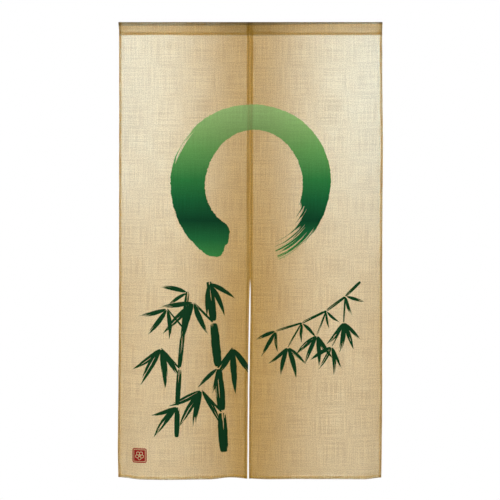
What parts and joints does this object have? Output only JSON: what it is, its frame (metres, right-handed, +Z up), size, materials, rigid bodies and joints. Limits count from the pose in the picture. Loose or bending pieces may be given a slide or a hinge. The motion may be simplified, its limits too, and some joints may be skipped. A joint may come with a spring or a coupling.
{
  "type": "noren curtain",
  "caption": "Two-panel doorway curtain of linen-weave cloth, with a rod pocket along its top edge and a slit up the middle from the bottom hem.",
  "frame": {"origin": "the middle of the rod's axis, inside the rod pocket, 8.2 mm below the top edge", "axes": "+Z up, +X along the rod to the right as the printed side is seen, -Y out of the printed side towards the viewer"},
  "size_m": [0.8566, 0.03, 1.4749],
  "materials": {
    "panel_cloth": "matt, sheer linen weave",
    "heading_cloth": "matt, folded linen weave"
  },
  "bodies": {
    "root": {"panel_left": "panel_cloth", "panel_right": "panel_cloth", "heading": "heading_cloth"}
  },
  "joints": []
}
